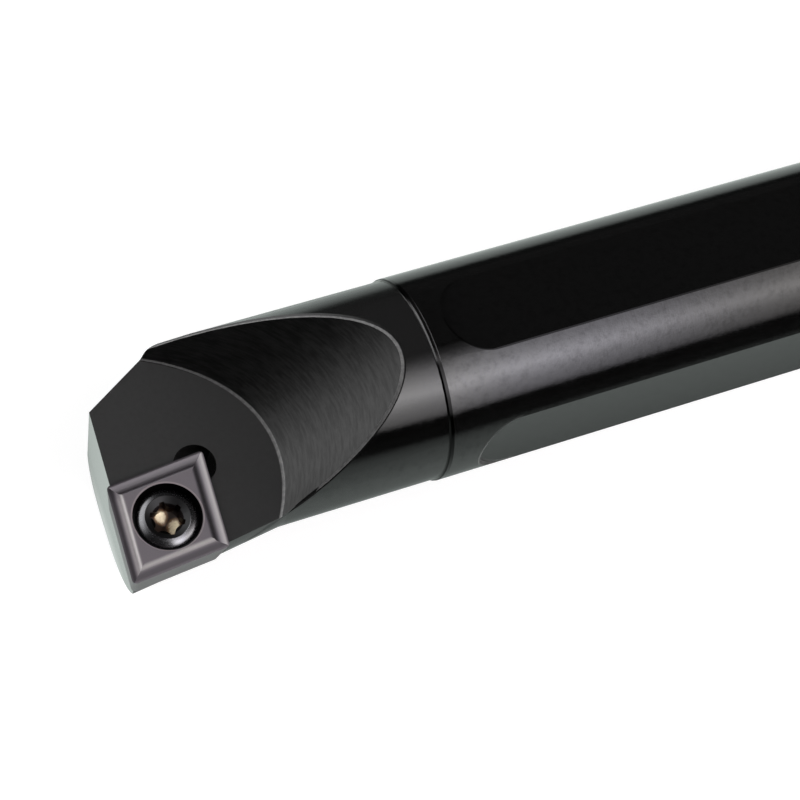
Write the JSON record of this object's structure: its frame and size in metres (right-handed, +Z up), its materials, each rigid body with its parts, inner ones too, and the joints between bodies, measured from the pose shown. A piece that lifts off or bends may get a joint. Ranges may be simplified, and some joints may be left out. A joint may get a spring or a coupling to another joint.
{
  "type": "boring bar",
  "caption": "Round-shank boring bar with clamping flats, an open chip gullet and a screwed-on rhombic cutting insert at its angled head.",
  "frame": {"origin": "centre of the bar's rear face", "axes": "+X from the cutting end along the bar's axis to the rear, +Z up on the side that the insert faces, the cutting nose points to -X and -Y"},
  "size_m": [0.2, 0.022, 0.02],
  "materials": {
    "black_steel": "black oxide, glossy where turned and matte where milled",
    "carbide": "sintered and ground carbide, satin",
    "screw_steel": "blackened, glossy"
  },
  "bodies": {
    "root": {"bar": "black_steel", "insert": "carbide", "insert_screw": "screw_steel"}
  },
  "joints": []
}
